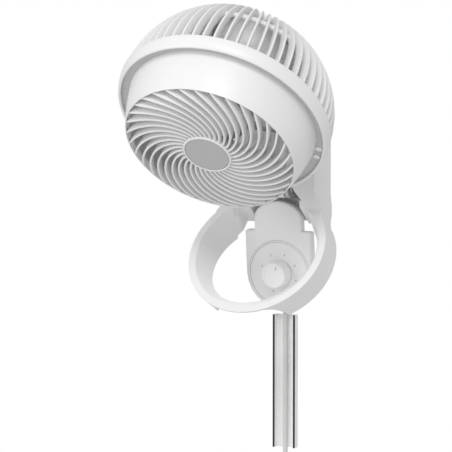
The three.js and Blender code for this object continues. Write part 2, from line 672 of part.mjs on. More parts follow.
// Stem: a cradle under the dome, an arm, and the barrel that turns on the tilt pin.
function stem() {
  const reach = hingeLocal.clone().normalize();
  const toHinge = Math.atan2(reach.y, reach.z); // in the head's YZ plane
  const seat = HEAD.radius + 0.45;
  const skin = (radius) => [-38, -24, -10, 2, 13].map((z) => [Math.sqrt(radius ** 2 - z * z), z]);
  const cradle = revolve([...skin(seat - 2), ...skin(seat + SADDLE.thickness).reverse()], 48)
    .rotateZ(Math.PI / 2);
  const saddleCut = new THREE.SphereGeometry(seat + 0.15, 60, 36).rotateX(Math.PI / 2);
  const sector = block(-SADDLE.halfWidth, SADDLE.halfWidth, -140, -100, -60, 40);
  const along = (d, offset) => new THREE.Vector3(0,
    Math.sin(toHinge) * d + Math.cos(toHinge) * offset,
    Math.cos(toHinge) * d - Math.sin(toHinge) * offset);
  const ring = (d, w, t) => [[-w, -t], [w, -t], [w, t], [-w, t]].map(([x, o]) =>
    along(d, o).setX(x));
  const distance = hingeLocal.length();
  const arm = loft([
    ring(seat - 6, 19, 16), ring(seat + 6, 17, 13), ring(distance - 22, 12.4, 9.5),
    ring(distance - 3, TILT.barrelHalfLength, 8.5),
  ]);
  const barrel = disc(TILT.barrelRadius, -TILT.barrelHalfLength, TILT.barrelHalfLength, 24)
    .rotateY(Math.PI / 2).translate(0, hingeLocal.y, hingeLocal.z);
  const bore = disc(TILT.pinRadius + CLEARANCE, -40, 40, 12)
    .rotateY(Math.PI / 2).translate(0, hingeLocal.y, hingeLocal.z);
  const pad = solid(cradle).intersect(solid(sector));
  const holes = SADDLE.screwX.map((x) =>
    rodY(SADDLE.screwRadius + CLEARANCE, -140, -100, x, SADDLE.screwZ, 12));
  return cut(join(pad, arm, barrel), bore, saddleCut, ...holes);
}
addPiece('head_stem', stem(), WHITE, head);
SADDLE.screwX.forEach((x, i) => {
  const outside = -Math.sqrt((HEAD.radius + 0.45 + SADDLE.thickness) ** 2 - x * x) - CLEARANCE;
  addPiece(`saddle_screw_${i + 1}`, join(
    rodY(SADDLE.screwRadius * 1.8, outside - 1.8, outside, x, SADDLE.screwZ, 12),
    rodY(SADDLE.screwRadius, outside - 0.5, outside + SADDLE.thickness, x, SADDLE.screwZ, 8),
  ), STEEL, head);
});

// ---------------------------------------------------------------- control pod
// The pod's own frame: X across, Y into the wall from the dial face, Z up the face.
const pod = new THREE.Group();
pod.position.set(0, -POD.standoff, POD.z);
pod.rotation.x = POD.droop;
group.add(pod);

/** Pod outline seen from the front, drawn in by an inset. */
function podOutline(inset = 0) {
  const s = new THREE.Shape();
  const w = POD.halfWidth - inset;
  const n = POD.neckHalfWidth - inset;
  const shoulder = POD.shoulder - inset;
  s.moveTo(w, 0);
  s.lineTo(w, shoulder - 3);
  s.quadraticCurveTo(w, shoulder, w - 3, shoulder);
  s.lineTo(n, shoulder);
  s.lineTo(n, POD.neckSide);
  s.absellipse(0, POD.neckSide, n, POD.neckTop - inset - POD.neckSide, 0, Math.PI, false);
  s.lineTo(-n, shoulder);
  s.lineTo(-w + 3, shoulder);
  s.quadraticCurveTo(-w, shoulder, -w, shoulder - 3);
  s.lineTo(-w, 0);
  s.absarc(0, 0, w, Math.PI, 2 * Math.PI, false);
  return s;
}

/** Skins two or more pod outlines of given inset and depth. */
function podLoft(stations, divisions = 6) {
  const ring = ([inset, y]) => podOutline(inset).getPoints(divisions).slice(0, -1)
    .map((p) => new THREE.Vector3(p.x, y, p.y));
  const rings = stations.map(ring);
  const n = rings[0].length;
  const g = loft(rings);
  // The outline isn't convex, so its ends are filled with a triangulated cap.
  const flat = rings[0].map((p) => new THREE.Vector2(p.x, p.z));
  const faces = THREE.ShapeUtils.triangulateShape(flat, []);
  const index = Array.from(g.index.array).slice(0, (rings.length - 1) * n * 6);
  const last = (rings.length - 1) * n;
  for (const [a, b, c] of faces) {
    index.push(a, c, b, last + a, last + b, last + c);
  }
  g.setIndex(index);
  return g;
}

const dialRecess = disc(DIAL.ringOuter + CLEARANCE, -5, DIAL.recess, 32).rotateX(-Math.PI / 2);
addPiece('pod_front_shell', cut(
  podLoft([[POD.edge, 0], [POD.edge * 0.3, POD.edge * 0.35], [0, POD.edge], [0, POD.frontDepth]]),
  dialRecess,
  podLoft([[POD.wall, DIAL.recess + POD.wall], [POD.wall, POD.frontDepth + 5]], 4),
  rodY(KNOB.shaftRadius + 1, -5, 20, 0, 0, 20),
), WARM_WHITE, pod);
addPiece('dial_ring', cut(
  ringBody(DIAL.ringInner, DIAL.ringOuter, -0.25, DIAL.recess - CLEARANCE, 32)
    .rotateX(-Math.PI / 2),
), WARM_WHITE, pod);
addPiece('dial_plate', cut(
  disc(DIAL.radius, 0, DIAL.recess - CLEARANCE, 32).rotateX(-Math.PI / 2),
  rodY(KNOB.shaftRadius + CLEARANCE, -5, 20, 0, 0, 20),
), WARM_WHITE, pod);

const cordSlot = block(-7, 7, 8, 30, -60, -24);
// A foot behind the neck rests on the bracket's web, square to the wall.
pod.updateMatrix();
const foot = block(-18, 18, webFront - 9, webFront - CLEARANCE, -64, -50)
  .applyMatrix4(pod.matrix.clone().invert());
addPiece('pod_rear_shell', cut(
  join(
    podLoft([[0, POD.frontDepth + CLEARANCE], [1, POD.frontDepth + 2.4],
      [POD.backTaper, POD.depth]]),
    foot,
  ),
  podLoft([[POD.wall, POD.frontDepth - 5], [POD.backTaper + POD.wall, POD.depth - POD.wall]], 4),
  cordSlot,
), WARM_WHITE, pod);

addPiece('rotary_switch', block(-11, 11, DIAL.recess + POD.wall + CLEARANCE + 0.2, 12.2, -11, 11),
  BLACK, pod);
addPiece('start_capacitor', block(-10, 10, 5.6, 13.2, 22, 34), BLACK, pod);
addPiece('terminal_block', block(13.5, 27, 5.6, 12, -14, 8), GREY, pod);

// Knob and its shaft turn together; a short bar on the face points at the marks.
const pointerAngle = 70 * DEG;
function knobBody() {
  const profile = [
    [0, -KNOB.height + 0.9], [11.4, -KNOB.height + 0.9], [12, -KNOB.height],
    [13.6, -KNOB.height + 0.1], [KNOB.radius - 0.3, -KNOB.height + 1.2],
    [KNOB.radius, -KNOB.height + 3], [KNOB.radius + 0.6, -KNOB.base], [0, -KNOB.base],
  ];
  return revolve(profile, 20).rotateX(-Math.PI / 2);
}
addPiece('control_knob', join(knobBody(),
  rodY(KNOB.shaftRadius, -KNOB.base - 1, DIAL.recess + POD.wall, 0, 0, 20)), WARM_WHITE, pod);
addPiece('knob_pointer', block(6.4, 10.8, -KNOB.height + 0.35, -KNOB.height + 0.6, -0.45, 0.45)
  .rotateY(-pointerAngle), GREY, pod);

// ---------------------------------------------------------------- cord channel on the wall
const railOuter = RAIL.innerHalfWidth + RAIL.wall;
addPiece('cord_channel', join(
  block(-railOuter, railOuter, -RAIL.base, 0, CORD.railEnd, RAIL.top),
  block(-railOuter, -RAIL.innerHalfWidth, -RAIL.depth, -RAIL.base + 0.2, CORD.railEnd, RAIL.top),
  block(RAIL.innerHalfWidth, railOuter, -RAIL.depth, -RAIL.base + 0.2, CORD.railEnd, RAIL.top),
), WHITE);
for (const side of [-1, 1]) {
  const [x0, x1] = side > 0 ? [RAIL.innerHalfWidth, railOuter] : [-railOuter, -RAIL.innerHalfWidth];
  const front = -RAIL.depth - CLEARANCE;
  addPiece(side > 0 ? 'edge_strip_right' : 'edge_strip_left',
    block(x0, x1, front - RAIL.stripDepth, front, CORD.railEnd, RAIL.top), BLACK);
}

// ---------------------------------------------------------------- power cord
addPiece('strain_relief', revolve([
  [0, 0], [2.9, 0], [3.3, 4], [3.7, 16], [3.7, 17], [4.2, 17.3], [4.2, 20.5], [0, 20.5],
], 12).translate(0, -CORD.standoff, CORD.top), CORD_GREY);

/** Round section swept along a curve, with flat ends. */
function tube(curve, radius, steps, sides) {
  const s = new THREE.Shape();
  for (let i = 0; i < sides; i += 1) {
    const a = ((i + 0.5) / sides) * 2 * Math.PI;
    const p = [radius * Math.cos(a), radius * Math.sin(a)];
    if (i === 0) s.moveTo(...p);
    else s.lineTo(...p);
  }
  s.closePath();
  return new THREE.ExtrudeGeometry(s, { steps, bevelEnabled: false, extrudePath: curve });
}

const cordRadius = CORD.diameter / 2;
const cordRun = new THREE.CatmullRomCurve3([
  new THREE.Vector3(0, -CORD.standoff, CORD.top - CLEARANCE),
  new THREE.Vector3(0, -CORD.standoff, CORD.top - 12),
  new THREE.Vector3(0, -CORD.standoff, (CORD.top + CORD.railEnd) / 2),
  new THREE.Vector3(0, -CORD.standoff, CORD.railEnd + 12),
  new THREE.Vector3(0, -CORD.standoff, CORD.runEnd),
]);
addPiece('power_cord', tube(cordRun, cordRadius, 6, 8), CORD_GREY);

// The unseen length is wound flat against the wall in two layers: it spirals in on
// the wall side, climbs half a turn at the middle, and spirals out again in front.
const coilTurns = COIL.turnsPerLayer * COIL.layers;
const coilOuter = COIL.innerRadius + COIL.pitch * COIL.turnsPerLayer;
const coilX = -coilOuter;
class CoilCurve extends THREE.Curve {
  getPoint(t, target = new THREE.Vector3()) {
    const turns = t * coilTurns;
    const reversal = COIL.turnsPerLayer;
    const radius = COIL.innerRadius + COIL.pitch * Math.abs(reversal - turns);
    const climb = THREE.MathUtils.smoothstep(turns, reversal - 0.25, reversal + 0.25);
    const a = -turns * 2 * Math.PI;
    return target.set(coilX + radius * Math.cos(a), -CORD.standoff - COIL.pitch * climb,
      COIL.z + radius * Math.sin(a));
  }
}
class WholeCord extends THREE.Curve {
  constructor(coil, lead, tail) {
    super();
    Object.assign(this, { coil, lead, tail });
  }

  getPoint(t, target = new THREE.Vector3()) {
    const steps = COIL.steps * coilTurns;
    const total = steps + 4;
    const s = t * total;
    if (s < 2) return target.copy(this.lead).lerp(this.coil.getPoint(0), s / 2);
    if (s > total - 2) return target.copy(this.coil.getPoint(1)).lerp(this.tail, (s - total + 2) / 2);
    return this.coil.getPoint((s - 2) / steps, target);
  }
}

/** Tube whose rings sit on the curve's own steps, so that a coil's turns stay even. */
function steppedTube(curve, radius, steps, sides) {
  const rings = [];
  for (let i = 0; i <= steps; i += 1) {
    const p = curve.getPoint(i / steps);
    const before = curve.getPoint(Math.max(0, i - 0.5) / steps);
    const after = curve.getPoint(Math.min(steps, i + 0.5) / steps);
    const tangent = after.sub(before).normalize();
    const across = new THREE.Vector3(0, 1, 0).addScaledVector(tangent, -tangent.y).normalize();
    const third = new THREE.Vector3().crossVectors(tangent, across);
    rings.push(Array.from({ length: sides }, (_, k) => {
      const a = ((k + 0.5) / sides) * 2 * Math.PI;
      return p.clone().addScaledVector(across, radius * Math.cos(a))
        .addScaledVector(third, radius * Math.sin(a));
    }));
  }
  return loft(rings);
}

const coilCurve = new CoilCurve();
const coilLead = new THREE.Vector3(0, -CORD.standoff, CORD.runEnd - CLEARANCE);
const coilEnd = coilCurve.getPoint(1);
const coilTail = coilEnd.clone().add(new THREE.Vector3(0, 0, -COIL.tail));
const wholeCord = new WholeCord(coilCurve, coilLead, coilTail);
addPiece('cord_coil', steppedTube(wholeCord, cordRadius, COIL.steps * coilTurns + 4, COIL.sides),
  CORD_GREY);

/** Least gap between stretches of the coil that lie at least half a turn apart. */
function leastCoilGap(samples = 60 * coilTurns) {
  const points = Array.from({ length: samples + 1 }, (_, i) => wholeCord.getPoint(i / samples));
  const apart = Math.round(samples / coilTurns / 2);
  let least = Infinity;
  for (let i = 0; i < points.length; i += 1) {
    for (let j = i + apart; j < points.length; j += 1) {
      least = Math.min(least, points[i].distanceTo(points[j]));
    }
  }
  return least - CORD.diameter;
}
const cordLength = cordRun.getLength() + wholeCord.getLength();
console.log(`cord coil: least gap to itself ${leastCoilGap().toFixed(2)} mm, `
  + `whole cord ${cordLength.toFixed(0)} mm`);

function coilTie() {
  const wall = 1.2;
  const gap = 0.4;
  const [r0, r1] = [COIL.innerRadius - cordRadius - gap, coilOuter + cordRadius + gap];
  const y0 = -(CORD.standoff + COIL.pitch + cordRadius + gap);
  const y1 = -(CORD.standoff - cordRadius - gap);
  const x = coilX;
  return cut(
    block(x - 4, x + 4, y0 - wall, y1 + wall, COIL.z + r0 - wall, COIL.z + r1 + wall),
    block(x - 9, x + 9, y0, y1, COIL.z + r0, COIL.z + r1),
  );
}
addPiece('coil_tie', coilTie(), BLACK);

function plugBody() {
  const at = (w, t, z) => [[-w, -t], [w, -t], [w, t], [-w, t]].map(([x, y]) =>
    new THREE.Vector3(x, y, z));
  return loft([
    at(3.4, 3.4, 0), at(4.2, 4.2, -PLUG.neck), at(PLUG.width / 2 - 2, PLUG.thickness / 2 - 1,
      -PLUG.neck - 6), at(PLUG.width / 2, PLUG.thickness / 2, -PLUG.neck - 14),
    at(PLUG.width / 2, PLUG.thickness / 2, -PLUG.neck - PLUG.length + 8),
    at(PLUG.width / 2 - 2.5, PLUG.thickness / 2 - 1.5, -PLUG.neck - PLUG.length + 8),
  ]);
}
const plugTop = coilTail.z - CLEARANCE;
addPiece('plug_body', plugBody().translate(coilTail.x, coilTail.y - 0.2, plugTop), CORD_GREY);
[-1, 1].forEach((side) => {
  const x = coilTail.x + side * 6.35;
  const z = plugTop - PLUG.neck - PLUG.length + 8 - CLEARANCE;
  addPiece(side > 0 ? 'plug_pin_right' : 'plug_pin_left', block(x - 0.75, x + 0.75,
    coilTail.y - 0.2 - PLUG.pinWidth / 2, coilTail.y - 0.2 + PLUG.pinWidth / 2,
    z - PLUG.pinLength, z), STEEL);
});

export default group;
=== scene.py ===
"""Looks of the wall mounted fan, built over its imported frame. Sizes are in millimetres."""
import json
import math

import bmesh
import bpy
import numpy as np
from mathutils import Matrix, Vector


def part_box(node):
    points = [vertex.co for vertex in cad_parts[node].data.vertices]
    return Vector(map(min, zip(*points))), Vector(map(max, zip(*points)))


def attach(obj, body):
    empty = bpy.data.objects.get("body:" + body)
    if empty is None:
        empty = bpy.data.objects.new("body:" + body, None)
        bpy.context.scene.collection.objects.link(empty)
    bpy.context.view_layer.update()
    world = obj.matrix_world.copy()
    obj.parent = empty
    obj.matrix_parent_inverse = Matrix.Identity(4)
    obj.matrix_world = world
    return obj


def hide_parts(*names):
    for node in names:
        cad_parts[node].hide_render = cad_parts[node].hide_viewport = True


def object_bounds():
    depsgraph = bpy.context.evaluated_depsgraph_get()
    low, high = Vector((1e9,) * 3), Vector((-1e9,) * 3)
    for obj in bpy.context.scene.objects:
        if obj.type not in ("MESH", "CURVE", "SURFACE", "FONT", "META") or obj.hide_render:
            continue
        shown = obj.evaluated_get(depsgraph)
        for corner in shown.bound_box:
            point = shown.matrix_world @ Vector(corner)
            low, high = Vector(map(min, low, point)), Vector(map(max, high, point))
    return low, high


MM = 0.001
DEG = math.pi / 180

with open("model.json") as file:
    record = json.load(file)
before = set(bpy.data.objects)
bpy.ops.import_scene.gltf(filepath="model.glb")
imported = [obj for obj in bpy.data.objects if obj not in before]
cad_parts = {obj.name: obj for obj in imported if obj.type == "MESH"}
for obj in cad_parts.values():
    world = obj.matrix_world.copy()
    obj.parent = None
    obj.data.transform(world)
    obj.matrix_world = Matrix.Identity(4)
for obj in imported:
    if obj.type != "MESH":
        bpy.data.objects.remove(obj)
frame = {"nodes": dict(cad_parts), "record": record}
cad_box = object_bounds()
nodes = frame["nodes"]

# ------------------------------------------------------------------ driving dimensions
HEAD_CENTRE = Vector((0, -162, 70))
HEAD_DROOP = 44.2 * DEG  # how far the air stream points below level
RIBS, VANES = 60, 34
POD_CENTRE = Vector((0, -22.2, -120.9))
POD_DROOP = 4.7 * DEG
CORD_DIAMETER, CORD_STANDOFF = 5.4, 4.4
CORD_TOP = -167.8  # where the lead leaves the strain relief
COIL = {"turns": 8, "inner": 20.2, "pitch": 5.9, "z": -384.0, "tail": 34.0}

# The head's own Z runs along the air stream; the pod's own -Y is its front.
head_matrix = Matrix.Translation(HEAD_CENTRE) @ Matrix.Rotation(math.pi / 2 + HEAD_DROOP, 4, "X")
pod_matrix = Matrix.Translation(POD_CENTRE) @ Matrix.Rotation(POD_DROOP, 4, "X")


# ------------------------------------------------------------------ camera
def make_camera():
    """A long lens 25.4 degrees to the right of the front and 5.5 degrees above it."""
    azimuth, elevation, distance = 25.4 * DEG, 5.5 * DEG, 4.444
    focal_length, picture_width = 4000, 452  # both in pixels
    target = Vector((-42.87, -70, -65.35)) * MM
    toward = Vector((math.sin(azimuth) * math.cos(elevation),
                     -math.cos(azimuth) * math.cos(elevation), math.sin(elevation)))
    data = bpy.data.cameras.new("camera")
    data.sensor_width = 36
    data.lens = focal_length / picture_width * data.sensor_width
    data.clip_end = 50
    camera = bpy.data.objects.new("camera", data)
    camera.location = target + toward * distance
    camera.rotation_euler = (-toward).to_track_quat("-Z", "Y").to_euler()
    bpy.context.scene.collection.objects.link(camera)
    bpy.context.scene.camera = camera


make_camera()


# ------------------------------------------------------------------ materials
def plastic(name, color, roughness=0.38, bump=0.05, grain=900.0, tint=0.015):
    """Moulded plastic: fine grain in the surface and a faint unevenness in its colour."""
    mat = bpy.data.materials.new(name)
    mat.use_nodes = True
    tree = mat.node_tree
    shader = tree.nodes["Principled BSDF"]
    coords = tree.nodes.new("ShaderNodeTexCoord")
    cloud = tree.nodes.new("ShaderNodeTexNoise")
    cloud.inputs["Scale"].default_value = 14
    cloud.inputs["Detail"].default_value = 3
    ramp = tree.nodes.new("ShaderNodeValToRGB")
    ramp.color_ramp.elements[0].position = 0.3
    ramp.color_ramp.elements[1].position = 0.7
    dark = [c * (1 - tint) for c in color]
    ramp.color_ramp.elements[0].color = (*dark, 1)
    ramp.color_ramp.elements[1].color = (*color, 1)
    tree.links.new(coords.outputs["Object"], cloud.inputs["Vector"])
    tree.links.new(cloud.outputs["Fac"], ramp.inputs["Fac"])
    tree.links.new(ramp.outputs["Color"], shader.inputs["Base Color"])
    spark = tree.nodes.new("ShaderNodeTexNoise")
    spark.inputs["Scale"].default_value = grain
    spark.inputs["Detail"].default_value = 2
    relief = tree.nodes.new("ShaderNodeBump")
    relief.inputs["Strength"].default_value = bump
    relief.inputs["Distance"].default_value = 0.0004
    tree.links.new(coords.outputs["Object"], spark.inputs["Vector"])
    tree.links.new(spark.outputs["Fac"], relief.inputs["Height"])
    tree.links.new(relief.outputs["Normal"], shader.inputs["Normal"])
    spread = tree.nodes.new("ShaderNodeMapRange")
    spread.inputs["To Min"].default_value = roughness - 0.05
    spread.inputs["To Max"].default_value = roughness + 0.06
    tree.links.new(cloud.outputs["Fac"], spread.inputs["Value"])
    tree.links.new(spread.outputs["Result"], shader.inputs["Roughness"])
    return mat


def metal(name, color, roughness=0.35):
    """Metal with a coarser grain and more unevenness than plastic."""
    mat = plastic(name, color, roughness, bump=0.08, grain=300, tint=0.12)
    mat.node_tree.nodes["Principled BSDF"].inputs["Metallic"].default_value = 0.9
    return mat


WHITE = plastic("white_plastic", (0.9, 0.9, 0.9))
POD_WHITE = plastic("pod_plastic", (0.93, 0.93, 0.93), roughness=0.45)
# Impeller grey, darker than its light plastic: painted shade for the dim inside of the duct.
FAN_PAINTED_SHADE = plastic("fan_painted_shade", (0.4, 0.4, 0.39), roughness=0.4)
# Grey of the groove floor: painted shade in the groove between the band and the cone.
GROOVE_PAINTED_SHADE = plastic("groove_painted_shade", (0.6, 0.6, 0.6), roughness=0.4)
# Whitest plastic: the cord channel's own white, and painted light on the knob, which the hoop shades.
RAIL_WHITE_KNOB_PAINTED_LIGHT = plastic("rail_white_knob_painted_light", (0.98, 0.98, 0.98), roughness=0.5)
MARK_GREY = plastic("mark_grey", (0.25, 0.25, 0.25), roughness=0.6)
GREY = plastic("grey_plastic", (0.53, 0.53, 0.53), roughness=0.42)
BLACK = plastic("black_plastic", (0.012, 0.012, 0.012), roughness=0.5)
RUBBER = plastic("black_rubber", (0.02, 0.02, 0.02), roughness=0.75, bump=0.15)
SHEATH = plastic("cord_sheath", (0.68, 0.69, 0.67), roughness=0.5, bump=0.12)
STEEL = metal("steel", (0.6, 0.61, 0.62))
COPPER = metal("copper_winding", (0.55, 0.25, 0.12), roughness=0.45)

SLOT_MATERIAL = {
    "white_plastic": WHITE, "pod_plastic": POD_WHITE, "grey_plastic": GREY,
    "black_plastic": BLACK, "black_rubber": RUBBER, "cord_sheath": SHEATH,
    "steel": STEEL, "copper_winding": COPPER,
}


# The knob takes the whitest plastic as painted light against the hoop's shade; the channel is simply
# white.
NODE_MATERIAL = {"cord_channel": RAIL_WHITE_KNOB_PAINTED_LIGHT, "control_knob": RAIL_WHITE_KNOB_PAINTED_LIGHT, "knob_pointer": GREY}


# ------------------------------------------------------------------ mesh helpers
def add_mesh(name, verts, faces, material, body, slot, replaces=(), matrix=None, smooth_angle=35):
    """A mesh from points in millimetres, placed by a matrix, riding on a body."""
    points = np.asarray(verts, float)
    mesh = bpy.data.meshes.new(name)
    if matrix is not None:
        m = np.array(matrix)
        points = points @ m[:3, :3].T + m[:3, 3]
    mesh.from_pydata((points * MM).tolist(), [], faces)
    mesh.materials.append(material)
    bm = bmesh.new()
    bm.from_mesh(mesh)
    bmesh.ops.remove_doubles(bm, verts=bm.verts, dist=1e-6)
    bmesh.ops.recalc_face_normals(bm, faces=bm.faces)
    bm.to_mesh(mesh)
    bm.free()
    obj = bpy.data.objects.new(name, mesh)
    bpy.context.scene.collection.objects.link(obj)
    return finish_piece(obj, body, replaces, smooth_angle)


def finish_piece(obj, body, replaces=(), smooth_angle=35):
    """Smooth shading with sharp edges past an angle, then what the piece rides on and stands for."""
    obj.data.set_sharp_from_angle(angle=smooth_angle * DEG)
    for polygon in obj.data.polygons:
        polygon.use_smooth = True
    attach(obj, body)
    if replaces:
        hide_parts(*replaces)
    return obj


def grid_faces(rows, columns, wrap_rows=False, wrap_columns=True):
    """Four-sided faces over a grid of points that may close on itself."""
    faces = []
    for i in range(rows if wrap_rows else rows - 1):
        for j in range(columns if wrap_columns else columns - 1):
            a, b = i * columns, ((i + 1) % rows) * columns
            k = (j + 1) % columns
            faces.append((a + j, a + k, b + k, b + j))
    return faces


def lathe(profile, segments=192):
    """Surface of revolution about Z of a closed loop of (radius, height) points."""
    p = np.asarray(profile, float)
    angles = np.linspace(0, 2 * math.pi, segments, endpoint=False)
    ring = np.stack([np.cos(angles), np.sin(angles)], 1)
    verts = np.concatenate([np.column_stack([ring * r, np.full(segments, z)]) for r, z in p])
    return verts, grid_faces(len(p), segments, wrap_rows=True)


def rounded(points, radius, steps=4):
    """A closed outline with its corners rounded; a point may carry its own radius."""
    pts = [np.array(p[:2], float) for p in points]
    radii = [p[2] if len(p) > 2 else radius for p in points]
    out = []
    for i, p in enumerate(pts):
        a, b = pts[i - 1], pts[(i + 1) % len(pts)]
        u, v = a - p, b - p
        lu, lv = np.linalg.norm(u), np.linalg.norm(v)
        if radii[i] <= 0 or lu < 1e-9 or lv < 1e-9:
            out.append(p)
            continue
        u, v = u / lu, v / lv
        half = math.acos(max(-1, min(1, float(u @ v)))) / 2
        if half > math.pi / 2 - 0.02:
            out.append(p)
            continue
        reach = min(radii[i] / math.tan(half), 0.45 * lu, 0.45 * lv)
        start, end = p + u * reach, p + v * reach
        for k in range(steps + 1):
            t = k / steps
            out.append((1 - t) ** 2 * start + 2 * t * (1 - t) * p + t * t * end)
    return np.array(out)


def loft(rings, caps=True):
    """Skins rings of equal point count; end caps are single faces."""
    rings = [np.asarray(r, float) for r in rings]
    n = len(rings[0])
    faces = grid_faces(len(rings), n)
    if caps:
        faces.append(tuple(range(n))[::-1])
        faces.append(tuple(range((len(rings) - 1) * n, len(rings) * n)))
    return np.concatenate(rings), faces


def merge(parts):
    """Joins (verts, faces) pairs into one pair."""
    verts, faces, offset = [], [], 0
    for v, f in parts:
        verts.append(np.asarray(v, float))
        faces.extend(tuple(i + offset for i in face) for face in f)
        offset += len(v)
    return np.concatenate(verts), faces


def turned(part, angle):
    """The same part turned about Z."""
    verts, faces = part
    c, s = math.cos(angle), math.sin(angle)
    return verts @ np.array([[c, s, 0], [-s, c, 0], [0, 0, 1]]), faces


# ------------------------------------------------------------------ power cord
def coil_point(turns):
    """Centre line of the wound lead: in against the wall, out again in front."""
    reversal = COIL["turns"] / 2  # the turn at which the lead starts out again
    radius = COIL["inner"] + COIL["pitch"] * abs(reversal - turns)
    t = min(1, max(0, (turns - reversal + 0.25) / 0.5))
    climb = t * t * (3 - 2 * t)
    a = -turns * 2 * math.pi
    outer = COIL["inner"] + COIL["pitch"] * reversal
    return Vector((-outer + radius * math.cos(a), -CORD_STANDOFF - COIL["pitch"] * climb,
                   COIL["z"] + radius * math.sin(a)))


def make_cord():
    """The lead down the wall, its coil and its tail, as one tube along one route."""
    straight = np.linspace(CORD_TOP, COIL["z"] + 2, 34)
    route = [Vector((0, -CORD_STANDOFF, z)) for z in straight]
    per_turn = 48
    route += [coil_point(i / per_turn) for i in range(COIL["turns"] * per_turn + 1)]
    end = route[-1]
    route += [end + Vector((0, 0, -COIL["tail"] * t)) for t in (0.33, 0.66, 1)]
    radius, sides = CORD_DIAMETER / 2, 16
    rings = []
    for i, p in enumerate(route):
        tangent = (route[min(i + 1, len(route) - 1)] - route[max(i - 1, 0)]).normalized()
        across = Vector((0, 1, 0))
        across = (across - tangent * across.dot(tangent)).normalized()
        third = tangent.cross(across)
        rings.append([tuple(p + across * (radius * math.cos(a)) + third * (radius * math.sin(a)))
                      for a in np.linspace(0, 2 * math.pi, sides, endpoint=False)])
    verts, faces = loft(rings)
    cord = add_mesh("mains_cord", verts, faces, SHEATH, "bracket", "cord_sheath",
                    replaces=("power_cord", "cord_coil"))
    length = sum((route[i + 1] - route[i]).length for i in range(len(route) - 1))
    return cord, [tuple(p * MM) for p in route], length * MM


def make_plug():
    """A moulded plug: a ribbed neck that swells into a rounded body."""
    low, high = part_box("plug_body")
    centre = (low + high) / 2 / MM
    top = high.z / MM
    bottom = low.z / MM
    half_w, half_t = (high.x - low.x) / 2 / MM, (high.y - low.y) / 2 / MM
    # distance below the top, half width and half thickness
    stations = [(0, 3.3, 3.3), (3, 3.6, 3.6), (6, 3.7, 3.7), (9, 3.9, 3.9), (13, 4.4, 4.4),
                (16, 6.5, 5.2), (19, 9.5, 6.4), (24, half_w - 0.6, half_t - 0.5),
                (28, half_w, half_t), (34, half_w, half_t), (38.5, half_w - 0.8, half_t - 0.6),
                (top - bottom, half_w - 2.2, half_t - 2)]
    rings = []
    for drop, w, t in stations:
        a = np.linspace(0, 2 * math.pi, 40, endpoint=False)
        power = 0.62 if w > 5 else 1  # the body's section is squarer than the neck's
        x = np.sign(np.cos(a)) * np.abs(np.cos(a)) ** power * w
        y = np.sign(np.sin(a)) * np.abs(np.sin(a)) ** power * t
        rings.append(np.column_stack([centre.x + x, centre.y + y, np.full(40, top - drop)]))
    return add_mesh("plug_shell", *loft(rings), SHEATH, "bracket", "cord_sheath",
                    replaces=("plug_body",))


cord, cord_path, cord_length = make_cord()
plug = make_plug()


# ------------------------------------------------------------------ head
# Profiles are (radius, height) points along the air stream; some carry their own corner radius.
def make_band():
    """The plain band round the head, with its front edge rolled inwards."""
    profile = rounded([(116.9, 0.0), (120, 0.0, 0.5), (120, 4), (119.3, 9), (118.2, 13.2, 1.5),
                       (116.6, 15.7, 1.6), (114.7, 15.2, 1.0), (115.1, 12), (116.3, 10), (116.9, 5)], 0.3)
    add_mesh("band", *lathe(profile, 256), WHITE, "head", "white_plastic", ("outer_band",), head_matrix)


def make_cone():
    """Flange with the groove and its floor, darkened grey as painted shade, then the cone that narrows to
    a thin lip.
    """
    outer = [(115.9, 10.6, 0.3), (106.4, 10.6, 0.5), (105.8, 13.8, 0.5), (104.2, 21), (102.8, 29),
             (101.3, 36), (99.6, 43), (97.4, 50), (95.6, 55.9, 0.3)]
    inner = [(94.8, 55.9, 0.3), (94.6, 51), (97.4, 42), (100.5, 28), (102.2, 13.8), (102.2, 2, 0.5),
             (115.9, 2, 0.4)]
    profile = rounded(outer + inner, 0.3)
    add_mesh("duct", *lathe(profile, 256), WHITE, "head", "white_plastic", ("duct_cone",), head_matrix)
    # The groove floor is a grey ring: painted shade under the band's rolled edge, not the duct's own
    # colour.
    floor = rounded([(114.9, 10.7), (114.9, 11.0), (106.5, 11.0), (106.5, 10.7)], 0.1)
    add_mesh("groove_floor", *lathe(floor, 256), GROOVE_PAINTED_SHADE, "head", "white_plastic", (), head_matrix)


def make_clips():
    """Two small catches in the groove, low on the right."""
    for index, angle in enumerate((-23.5, -30.8), 1):
        loop = rounded([(107, -2.2), (113.8, -2.2), (113.8, 2.2), (107, 2.2)], 0.6)
        middle = 110.4
        rings = [[(x, y, z) for x, y in loop] for z in (10.5, 13.0)]
        top = [[(middle + (x - middle) * 0.9, y * 0.86, 13.4) for x, y in loop]]
        catch = turned(loft(rings + top), angle * DEG)
        add_mesh(f"catch_{index}", *catch, WHITE, "head", "white_plastic", (f"groove_clip_{index}",),
                 head_matrix)


VANE = {"inner": 26.2, "outer": 94.2, "root": 27.2, "rim": 95.4, "sweep": 60.1 * DEG, "ease": 2.5,
        "phase": 1.9 * DEG, "thickness": 2.3, "depth": 13.0, "front": 63.7}


def vane_turn(r):
    """Angle that a vane has swept at a radius; it leaves the hub squarely."""
    ease = VANE["ease"]
    run = np.maximum(r - VANE["root"], 0)
    span = VANE["rim"] - VANE["root"]
    return VANE["sweep"] * (run - ease * (1 - np.exp(-run / ease))) / (span - ease)


def vane_front(r):
    """Height of a vane's front edge, which falls off to the rim and curls back there."""
    t = np.clip((r - VANE["root"]) / (VANE["rim"] - VANE["root"]), 0, 1)
    return VANE["front"] - 5.4 * t ** 3 - 3.8 * t ** 12


